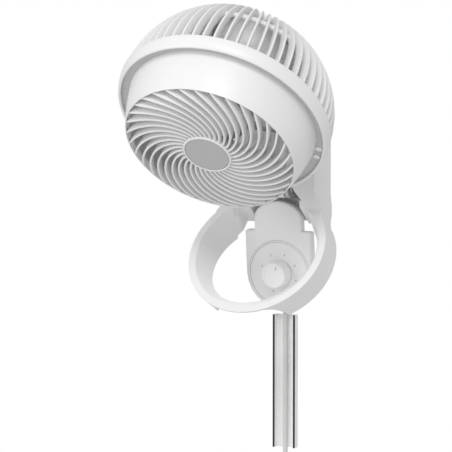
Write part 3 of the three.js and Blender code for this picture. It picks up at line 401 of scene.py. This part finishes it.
def make_vane():
    """One vane: a thin blade on edge, round along its front, that sweeps out to the rim."""
    steps = 40
    radii = VANE["inner"] + (VANE["outer"] - VANE["inner"]) * np.linspace(0, 1, steps + 1) ** 0.95
    angle = vane_turn(radii)
    mid = np.column_stack([radii * np.cos(angle), radii * np.sin(angle)])
    tangent = np.gradient(mid, axis=0)
    tangent /= np.linalg.norm(tangent, axis=1)[:, None]
    side = np.column_stack([-tangent[:, 1], tangent[:, 0]])
    half = VANE["thickness"] / 2
    rings = []
    for i, r in enumerate(radii):
        t = (r - VANE["inner"]) / (VANE["outer"] - VANE["inner"])
        depth = VANE["depth"] * (1 - 0.45 * t ** 6)
        top = float(vane_front(r))
        section = [(-half * 0.55, -depth), (-half, -1.1), (-half * 0.87, -0.5), (-half * 0.5, -0.12),
                   (0, 0), (half * 0.5, -0.12), (half * 0.87, -0.5), (half, -1.1), (half * 0.55, -depth)]
        rings.append([(*(mid[i] + side[i] * w), top + h) for w, h in section])
    return loft(rings)


def make_front_grille():
    """All the vanes, the thin ring that they end in and the cup that holds the hub disc."""
    vane = make_vane()
    parts = [turned(vane, VANE["phase"] + 2 * math.pi * k / VANES) for k in range(VANES)]
    parts.append(lathe(rounded([(92.9, 47), (94.3, 47), (94.3, 51.5), (93.3, 51.5)], 0.3), 256))
    cup = [(0.01, 52.5), (25.2, 52.5, 1), (27.2, 55, 1), (27.3, 64.2, 0.9), (26.2, 64.9, 0.5),
           (25.1, 64.5, 0.3), (25.1, 62.6), (0.01, 62.6)]
    parts.append(lathe(rounded(cup, 0.3), 128))
    add_mesh("grille_front", *merge(parts), WHITE, "head", "white_plastic", ("front_grille",),
             head_matrix)


def make_hub_disc():
    """The grey disc in the middle of the grille, a little crowned."""
    profile = [(0.01, 62.9), (24.6, 62.9), (24.6, 64.0, 0.4), (23.6, 64.35, 0.5), (0.01, 64.6)]
    profile = rounded(profile, 0.2)
    add_mesh("hub_face", *lathe(profile, 128), GREY, "head", "grey_plastic", ("hub_disc",), head_matrix)


DOME = {"radius": 118.8, "depth": 112.0}  # half axes of the dome: across, and along the air stream
RIB = {"start": -1.4 * DEG, "end": 65.5 * DEG, "thickness": 3.0, "height": 10.5, "draft": 0.25,
       "setback": 0.7}
CROWN = {"inner": 46.6, "outer": 50.3, "back": -104.6, "front": -95.0}
INNER_HOOP_LATITUDE = 34.5 * DEG


def dome_point(latitude, depth=0.0):
    """Radius and height of a point at a depth below the dome's surface."""
    c, s = math.cos(latitude), math.sin(latitude)
    normal = Vector((DOME["depth"] * c, -DOME["radius"] * s)).normalized()
    return DOME["radius"] * c - normal.x * depth, -DOME["depth"] * s - normal.y * depth


def make_rib():
    """One rib: a deep thin bar on edge that follows the dome, round along its outer edge."""
    steps = 28
    half = RIB["thickness"] / 2
    rings = []
    for i in range(steps + 1):
        t = i / steps
        latitude = RIB["start"] + (RIB["end"] - RIB["start"]) * t
        draft = 1 - RIB["draft"] * t
        height = RIB["height"] * (1 - RIB["draft"] * t)
        section = [(half, height), (half * 0.9, 1.0), (half * 0.7, 0.35), (half * 0.3, 0.03),
                   (-half * 0.3, 0.03), (-half * 0.7, 0.35), (-half * 0.9, 1.0), (-half, height)]
        ring = []
        for w, depth in section:
            r, z = dome_point(latitude, depth)
            ring.append((r, w * draft, z - RIB["setback"]))
        rings.append(ring)
    return loft(rings)


def make_rear_grille():
    """The ribs with their foot ring in the band, the crown at the back and a hoop inside the dome."""
    rib = make_rib()
    parts = [turned(rib, 2 * math.pi * k / RIBS) for k in range(RIBS)]
    foot_ring = [(108.5, 0.6), (116.4, 0.6), (116.4, 3.6), (108.5, 3.6)]
    parts.append(lathe(rounded(foot_ring, 0.4), 240))
    inner, outer, back, front = (CROWN[k] for k in ("inner", "outer", "back", "front"))
    crown = [(inner, back), (outer, back, 1.2), (outer, front), (inner, front)]
    parts.append(lathe(rounded(crown, 0.5), 160))
    r, z = dome_point(INNER_HOOP_LATITUDE, RIB["height"] - 1)
    hoop = [(r - 2.8, z - 4.0), (r + 0.8, z - 5.2), (r + 3.6, z + 1.8), (r + 0.4, z + 3.2)]
    parts.append(lathe(rounded(hoop, 0.5), 240))
    add_mesh("grille_rear", *merge(parts), WHITE, "head", "white_plastic", ("rear_grille",), head_matrix)


def make_rear_cap():
    """The plain cap that closes the crown."""
    profile = [(0.01, -115.0), (10, -114.6), (20, -113.4), (30, -111.4), (38, -109.0), (43, -106.9),
               (45.9, -105.2), (46.3, -104.2), (46.3, -101), (0.01, -103)]
    add_mesh("cap", *lathe(rounded(profile, 0.3), 160), WHITE, "head", "white_plastic", ("rear_cap",),
             head_matrix)


def make_motor():
    """The motor's housing and the disc that carries it."""
    arm = lathe(rounded([(6, -100.6), (46.2, -100.6), (46.2, -97.5), (6, -97.5)], 0.4), 96)
    add_mesh("motor_arms", *arm, GREY, "head", "grey_plastic", ("motor_bracket",), head_matrix)
    can = [(5, -97.2), (44.5, -97.2, 1), (42, -93, 2), (37, -85, 4), (34, -74, 4), (34, -56, 0.6),
           (32, -56, 0.4), (32, -94), (5, -94)]
    add_mesh("motor_housing", *lathe(rounded(can, 0.4), 128), WHITE, "head", "white_plastic",
             ("motor_can",), head_matrix)


FAN = {"radius": 95.0, "hub": 30.0, "blades": 5, "pitch": 32 * DEG, "phase": 42 * DEG, "front": 0.6}


def make_blade():
    """One blade: a cambered sheet whose pitch eases off towards the tip."""
    steps, along = 26, 12
    rings = []
    for i in range(steps + 1):
        t = i / steps
        radius = (FAN["hub"] - 2) * (1 - t) + FAN["radius"] * t
        pitch = FAN["pitch"] * (1.45 - 0.75 * t)
        chord = 32 + 33 * math.sin(math.pi * (0.15 + 0.62 * t))
        if t > 0.85:
            chord *= math.sqrt(max(0.25, 1 - ((t - 0.85) / 0.15) ** 2 * 0.5))
        lean = -0.18 + 0.5 * t * t
        half = 1.5 - 0.7 * t
        upper, lower = [], []
        for k in range(along + 1):
            u = -1 + 2 * k / along
            camber = -2.2 * (1 - u * u)
            edge = half * math.sqrt(max(0.04, 1 - u ** 4))
            for store, off in ((upper, camber + edge), (lower, camber - edge)):
                x = u * chord / 2
                across = x * math.cos(pitch) - off * math.sin(pitch)
                a = lean + across / radius
                store.append((radius * math.cos(a), radius * math.sin(a),
                              FAN["front"] + x * math.sin(pitch) + off * math.cos(pitch)))
        rings.append(lower + upper[::-1])
    return loft(rings)


def make_impeller():
    """Five blades round a cupped hub."""
    blade, count = make_blade(), FAN["blades"]
    parts = [turned(blade, FAN["phase"] + 2 * math.pi * k / count) for k in range(count)]
    hub = [(4.3, 0), (4.3, 21), (18, 21, 2), (26, 18, 3), (30, 12, 3), (30, -20, 0.6),
           (27.5, -20, 0.4), (27.5, 13, 2), (10, 17), (10, 0)]
    parts.append(lathe(rounded(hub, 0.3), 96))
    # The blades take a dark grey as painted shade inside the duct.
    add_mesh("blades", *merge(parts), FAN_PAINTED_SHADE, "impeller", "pod_plastic", ("impeller",), head_matrix)


make_band()
make_cone()
make_clips()
make_front_grille()
make_hub_disc()
make_rear_grille()
make_rear_cap()
make_motor()
make_impeller()


# ------------------------------------------------------------------ wall bracket
HOOP = {"z": -90, "standoff": 81.5, "slope": 38.8 * DEG, "outer": 80.3, "inner": 72, "skirt_depth": 37,
        "skirt_radius": 78.6, "skirt_rise": 7.5, "wall": 3.2, "oval": (62.7, 2.0, 5.8, -0.3),
        "cut_depth": 24.8, "cut_slope": 0.354, "rim": 2.4, "column_angle": 60 * DEG, "hollow_floor": 4.7,
        "notch_floor": 3.7, "notch_top": 27, "notch_width": 43, "overlap": 10 * DEG}
COLUMN = {"half": 53.5, "depth": 45, "top": 60, "top_depth": 31, "corner": 16, "shoulder_top": -24,
          "web_back": 3.3, "web": 4, "front_wall": 7, "recess": 43.8, "recess_up": 64}
# The pocket behind the front wall is narrower below the joint, beside the dial pod's neck.
POCKET = {"half": 36, "neck_half": 31.2, "neck_top": -36, "top": 10, "bottom": -72}
PLATE_RECESS = {"half": 40.3, "bottom": -60.3, "top": 50.3}
# Half of the arched window in the front wall, from its foot to its top.
WINDOW_FOOT = (46.2, -86)
WINDOW = [(46.2, -62), (46.0, -50), (42.6, -41), (36, -34), (28.7, -26), (22.5, -14), (16.5, -3),
          (9.5, 4), (0, 7)]
BRACKET_GRAIN = 0.7  # cell of the mesh that the bracket's solids are fused into


def hoop_point(x, up, depth):
    """A point across the hoop, up its slanted face and behind that face."""
    c, s = math.cos(HOOP["slope"]), math.sin(HOOP["slope"])
    return np.array([x, -HOOP["standoff"] + s * up + c * depth, HOOP["z"] + c * up - s * depth])


def hoop_polar(angle, radius, depth):
    return hoop_point(radius * math.sin(angle), radius * math.cos(angle), depth)


def oval_radius(angle):
    """Radius of the opening's back edge; angles start at the hoop's top."""
    return sum(amplitude * math.cos(k * angle) for k, amplitude in enumerate(HOOP["oval"]))


def oval_depth(angle):
    """Depth of the opening's back edge, which a slanted cut gives."""
    return HOOP["cut_depth"] + HOOP["cut_slope"] * oval_radius(angle) * math.cos(angle)


def skirt_back(angle):
    """Outer radius at the back of the skirt."""
    return HOOP["skirt_radius"] + HOOP["skirt_rise"] * math.cos(angle)


def smoothstep(x, low, high):
    t = min(1, max(0, (x - low) / (high - low)))
    return t * t * (3 - 2 * t)


def hoop_ring():
    """Outer skirt and inner flared rim that share the front face; hollow at the back."""
    start = HOOP["column_angle"] - HOOP["overlap"]
    rings = []
    for a in np.linspace(start, 2 * math.pi - start, 181):
        rim_r, rim_d = oval_radius(a), oval_depth(a)
        skirt_inner = hoop_polar(a, skirt_back(a) - HOOP["wall"], HOOP["skirt_depth"])
        rim_back = hoop_polar(a, rim_r + HOOP["rim"] * 0.6, rim_d + HOOP["rim"])
        hollow = smoothstep(min(a, 2 * math.pi - a) / DEG, 62, 84)
        root = (skirt_inner + rim_back) / 2 * (1 - hollow) + hollow * hoop_polar(
            a, HOOP["outer"] - HOOP["wall"] - 1, HOOP["hollow_floor"])
        rings.append([hoop_polar(a, HOOP["outer"], 0), hoop_polar(a, skirt_back(a), HOOP["skirt_depth"]),
                      skirt_inner, root, rim_back, hoop_polar(a, rim_r, rim_d),
                      hoop_polar(a, HOOP["inner"], 0)])
    return loft(rings)


def hoop_opening():
    """What the hoop's flared opening takes out of the column."""
    angles = np.linspace(0, 2 * math.pi, 180, endpoint=False)
    return loft([[hoop_polar(a, HOOP["inner"] + 3, -9) for a in angles],
                 [hoop_polar(a, HOOP["inner"], 0) for a in angles],
                 [hoop_polar(a, oval_radius(a), oval_depth(a)) for a in angles],
                 [hoop_polar(a, oval_radius(a), oval_depth(a) + 70) for a in angles]])


def hoop_notch():
    """What the notch takes away, leaving only a thin flange at the hoop's lowest point."""
    top, floor, width = HOOP["notch_top"], HOOP["notch_floor"], HOOP["notch_width"]
    start, end = np.array([top, floor]), np.array([width, HOOP["skirt_depth"] + 4])
    pull, push = np.array([top + 9, floor + 2]), np.array([width - 1, 18])
    side = [(1 - t) ** 3 * start + 3 * t * (1 - t) ** 2 * pull
            + 3 * t * t * (1 - t) * push + t ** 3 * end for t in np.linspace(0, 1, 25)]
    outline = side + [(-x, d) for x, d in side[::-1]]
    return loft([[hoop_point(x, up, d) for x, d in outline] for up in (-100, -40)])


def column_body():
    """Level strips between a front line and a back line, from the hoop to the column's top."""
    def strip(xf, yf, zf, xb, yb, zb):
        return [(-xf, yf, zf), (xf, yf, zf), (xb, yb, zb), (-xb, yb, zb)]

    half, depth = COLUMN["half"], COLUMN["depth"]
    fold_up = (HOOP["standoff"] - depth) / math.sin(HOOP["slope"])
    fold_z = HOOP["z"] + fold_up * math.cos(HOOP["slope"])
    strips = []
    for turn in (0, 2, 4, 6):
        angle = HOOP["column_angle"] - turn * DEG
        strips.append(strip(*hoop_polar(angle, HOOP["outer"], 0),
                            *hoop_polar(angle, skirt_back(angle), HOOP["skirt_depth"])))
    # The shoulders ease from the hoop's round edge into the column's straight sides.
    first, shoulder_top, steps = strips[-1], COLUMN["shoulder_top"], 40
    for i in range(1, steps + 1):
        t = i / steps
        ease = t * t * (3 - 2 * t)
        zf = first[1][2] * (1 - t) + shoulder_top * t
        up = (zf - HOOP["z"]) / math.cos(HOOP["slope"])
        yf = hoop_point(0, up, 0)[1] if zf < fold_z else -depth
        xf = half + (first[1][0] - half) * (1 - ease) ** 1.6
        rise = t ** 1.2
        zb = first[2][2] * (1 - rise) + shoulder_top * rise
        yb = min(0, first[2][1] + (zb - first[2][2]) * 1.15)
        waist = 3 * math.sin(math.pi * min(1, 1.5 * t)) if t < 2 / 3 else 0
        strips.append(strip(xf, yf, zf, half + (first[2][0] - half) * (1 - t) ** 2 - waist, yb, zb))
    # The lean starts level with the mount, and the top corners are round.
    corner_steps = 12
    for i in range(corner_steps + 1):
        a = i / corner_steps * math.pi / 2
        z = COLUMN["top"] - COLUMN["corner"] * (1 - math.sin(a)) if i else 0
        x = half - COLUMN["corner"] * (1 - math.cos(a))
        front = -(depth + (COLUMN["top_depth"] - depth) * max(0, z / COLUMN["top"]))
        strips.append(strip(x, front, z, x, 0, z))
    return loft(strips)


def catmull(points, count):
    """A smooth curve through the points."""
    p = np.asarray(points, float)
    out = []
    for s in np.linspace(0, len(p) - 1, count):
        i = min(int(s), len(p) - 2)
        t = s - i
        p0, p1, p2, p3 = p[max(i - 1, 0)], p[i], p[i + 1], p[min(i + 2, len(p) - 1)]
        v0, v1 = (p2 - p0) / 2, (p3 - p1) / 2
        cubic, square = 2 * p1 - 2 * p2 + v0 + v1, -3 * p1 + 3 * p2 - 2 * v0 - v1
        out.append(cubic * t ** 3 + square * t ** 2 + v0 * t + p1)
    return out


def front_window():
    """The arched window in the column's front wall, wide over the pod and narrow for the stem."""
    arch = catmull(WINDOW + [(-x, z) for x, z in WINDOW[-2::-1]], 120)
    foot_x, foot_z = WINDOW_FOOT
    outline = [(foot_x, foot_z), *arch, (-foot_x, foot_z)]
    levels = (-COLUMN["depth"] - 12, -COLUMN["depth"] + COLUMN["front_wall"] + 1)
    return loft([[(x, y, z) for x, z in outline] for y in levels])


def box(x0, x1, y0, y1, z0, z1):
    """A plain box between two corners."""
    return loft([[(x0, y0, z), (x1, y0, z), (x1, y1, z), (x0, y1, z)] for z in (z0, z1)])


def hoop_recess():
    """Recess above the hoop's opening, cut along the hoop's own depth."""
    w, top = COLUMN["recess"], COLUMN["recess_up"]
    corners = [(-w, 0), (w, 0), (w, top), (-w, top)]
    return loft([[hoop_point(x, up, d) for x, up in corners] for d in (-20, 110)])


def raw_object(part, name="part"):
    """A closed solid of triangles that point outwards."""
    verts, faces = part
    mesh = bpy.data.meshes.new(name)
    mesh.from_pydata((np.asarray(verts) * MM).tolist(), [], faces)
    bm = bmesh.new()
    bm.from_mesh(mesh)
    bmesh.ops.remove_doubles(bm, verts=bm.verts, dist=1e-6)
    bmesh.ops.triangulate(bm, faces=bm.faces)
    bmesh.ops.recalc_face_normals(bm, faces=bm.faces)
    bm.to_mesh(mesh)
    bm.free()
    obj = bpy.data.objects.new(name, mesh)
    bpy.context.scene.collection.objects.link(obj)
    return obj


def apply_modifiers(obj):
    """Works the object's modifiers into its mesh."""
    graph = bpy.context.evaluated_depsgraph_get()
    mesh = bpy.data.meshes.new_from_object(obj.evaluated_get(graph))
    obj.modifiers.clear()
    obj.data = mesh


def combine(base, operation, *tools):
    """Cuts the tools from the base, or joins them to it, and deletes them."""
    for tool in tools:
        step = base.modifiers.new("combine", "BOOLEAN")
        step.operation, step.object, step.solver = operation, tool, "EXACT"
        apply_modifiers(base)
        bpy.data.objects.remove(tool)


def make_bracket():
    """Column and hoop in one shell, fused into an even mesh so that every edge gets a small round."""
    web_front = -(COLUMN["web_back"] + COLUMN["web"])
    inside = -COLUMN["depth"] + COLUMN["front_wall"]
    wide, narrow, level = POCKET["half"], POCKET["neck_half"], POCKET["neck_top"]
    cutters = [
        hoop_opening(), hoop_recess(),
        box(-wide, wide, inside, web_front, level, POCKET["top"]),
        box(-narrow, narrow, inside, web_front, POCKET["bottom"], level + 1),
        front_window(),
        box(-PLATE_RECESS["half"], PLATE_RECESS["half"], -COLUMN["web_back"], 5,
            PLATE_RECESS["bottom"], PLATE_RECESS["top"]),
    ]
    shell = raw_object(column_body(), "bracket")
    combine(shell, "DIFFERENCE", *[raw_object(part) for part in cutters])
    hoop = raw_object(hoop_ring())
    combine(hoop, "DIFFERENCE", raw_object(hoop_notch()))
    combine(shell, "UNION", hoop)
    remesh = shell.modifiers.new("remesh", "REMESH")
    remesh.mode, remesh.voxel_size = "VOXEL", BRACKET_GRAIN * MM
    soften = shell.modifiers.new("soften", "SMOOTH")
    soften.factor, soften.iterations = 0.5, 2
    thin = shell.modifiers.new("thin", "DECIMATE")
    thin.ratio = 0.4
    apply_modifiers(shell)
    shell.data.materials.clear()
    shell.data.materials.append(WHITE)
    finish_piece(shell, "bracket", ("bracket_shell",), 50)


make_bracket()


# ------------------------------------------------------------------ dial marks
MARKS = {"count": 8, "first": 250 * DEG, "step": 45 * DEG, "radius": 22.0, "size": 3.6, "thickness": 0.04,
         "lift": 0.05}


def number_mesh(number):
    """A plain number, upright and centred, as a thin solid."""
    curve = bpy.data.curves.new("mark", "FONT")
    curve.body, curve.size, curve.extrude = str(number), MARKS["size"], MARKS["thickness"]
    curve.align_x, curve.align_y = "CENTER", "CENTER"
    text = bpy.data.objects.new("mark", curve)
    bpy.context.scene.collection.objects.link(text)
    graph = bpy.context.evaluated_depsgraph_get()
    mesh = bpy.data.meshes.new_from_object(text.evaluated_get(graph))
    bpy.data.objects.remove(text)
    return mesh


def make_marks():
    """Plain numbers round the knob, clockwise, printed on the dial plate."""
    inverse = pod_matrix.inverted()
    face = min((inverse @ (v.co / MM)).y for v in nodes["dial_plate"].data.vertices) - MARKS["lift"]
    parts = []
    for number in range(MARKS["count"]):
        mesh = number_mesh(number)
        angle = MARKS["first"] - MARKS["step"] * number
        x, z = MARKS["radius"] * math.cos(angle), MARKS["radius"] * math.sin(angle)
        verts = [(v.co.x + x, face - v.co.z, v.co.y + z) for v in mesh.vertices]
        parts.append((verts, [tuple(q.vertices) for q in mesh.polygons]))
    add_mesh("dial_marks", *merge(parts), MARK_GREY, "bracket", "grey_plastic", (), pod_matrix)


make_marks()


# ------------------------------------------------------------------ softened CAD nodes
NODE_ROUNDING, THINNEST_ROUNDED = 0.35, 1.5


def soften_nodes():
    """The frame's other solids, merged, with a small round on every edge."""
    record = frame["record"]
    slot_of = {part["node"]: part["material_slot"] for part in record["subparts"]}
    body_of = {node: body for body, names in record["behaviour"]["bodies"].items() for node in names}
    for name, node in list(nodes.items()):
        if node.hide_render:
            continue
        mesh = node.data.copy()
        bm = bmesh.new()
        bm.from_mesh(mesh)
        bmesh.ops.remove_doubles(bm, verts=bm.verts, dist=2e-6)
        bmesh.ops.dissolve_limit(bm, angle_limit=0.5 * DEG, verts=bm.verts, edges=bm.edges)
        bm.to_mesh(mesh)
        bm.free()
        mesh.materials.clear()
        mesh.materials.append(NODE_MATERIAL.get(name, SLOT_MATERIAL[slot_of[name]]))
        obj = bpy.data.objects.new(name + "_soft", mesh)
        bpy.context.scene.collection.objects.link(obj)
        if min(node.dimensions) > THINNEST_ROUNDED * MM:
            rounding = obj.modifiers.new("rounding", "BEVEL")
            rounding.width = NODE_ROUNDING * MM
            rounding.segments = 2
            rounding.limit_method = "ANGLE"
            rounding.angle_limit = 40 * DEG
        finish_piece(obj, body_of[name], (name,), 32)


soften_nodes()


# ------------------------------------------------------------------ stage and light
SOFT_LIGHT, SEEN_WHITE = 0.58, 1.0  # strength of the world for the object, and for the camera


def make_stage():
    """A pale floor, in metres, far enough below to stay out of the picture."""
    floor_mesh = bpy.data.meshes.new("floor")
    z, half = cad_box[0][2] - 0.2, 1.3
    floor_mesh.from_pydata([(-half, -half, z), (half, -half, z), (half, half, z), (-half, half, z)], [],
                           [(0, 1, 2, 3)])
    floor = bpy.data.objects.new("floor", floor_mesh)
    mat = bpy.data.materials.new("floor")
    mat.use_nodes = True
    mat.node_tree.nodes["Principled BSDF"].inputs["Base Color"].default_value = (0.8, 0.8, 0.8, 1)
    mat.node_tree.nodes["Principled BSDF"].inputs["Roughness"].default_value = 0.8
    floor_mesh.materials.append(mat)
    bpy.context.scene.collection.objects.link(floor)


def make_world():
    """Soft light all round, and a plain white background for the camera."""
    world = bpy.data.worlds.new("world")
    bpy.context.scene.world = world
    world.use_nodes = True
    tree = world.node_tree
    tree.nodes.clear()
    out = tree.nodes.new("ShaderNodeOutputWorld")
    soft = tree.nodes.new("ShaderNodeBackground")
    soft.inputs["Color"].default_value = (1, 1, 1, 1)
    soft.inputs["Strength"].default_value = SOFT_LIGHT
    white = tree.nodes.new("ShaderNodeBackground")
    white.inputs["Color"].default_value = (1, 1, 1, 1)
    white.inputs["Strength"].default_value = SEEN_WHITE
    path = tree.nodes.new("ShaderNodeLightPath")
    mix = tree.nodes.new("ShaderNodeMixShader")
    tree.links.new(path.outputs["Is Camera Ray"], mix.inputs["Fac"])
    tree.links.new(soft.outputs["Background"], mix.inputs[1])
    tree.links.new(white.outputs["Background"], mix.inputs[2])
    tree.links.new(mix.outputs["Shader"], out.inputs["Surface"])


def area_light(name, location, target, size, power):
    """A rectangular lamp that faces its target."""
    data = bpy.data.lights.new(name, "AREA")
    data.shape = "RECTANGLE"
    data.size, data.size_y = size
    data.energy = power
    light = bpy.data.objects.new(name, data)
    light.location = location
    light.rotation_euler = (Vector(target) - Vector(location)).to_track_quat("-Z", "Y").to_euler()
    bpy.context.scene.collection.objects.link(light)


make_stage()
make_world()
area_light("key", (0.9, -2.4, 2.2), (0, -0.1, 0), (1.4, 1.1), 39)
area_light("fill", (-1.6, -2.4, 0.6), (0, -0.1, -0.05), (1.6, 1.6), 14)

view = bpy.context.scene.view_settings
view.view_transform = "Standard"
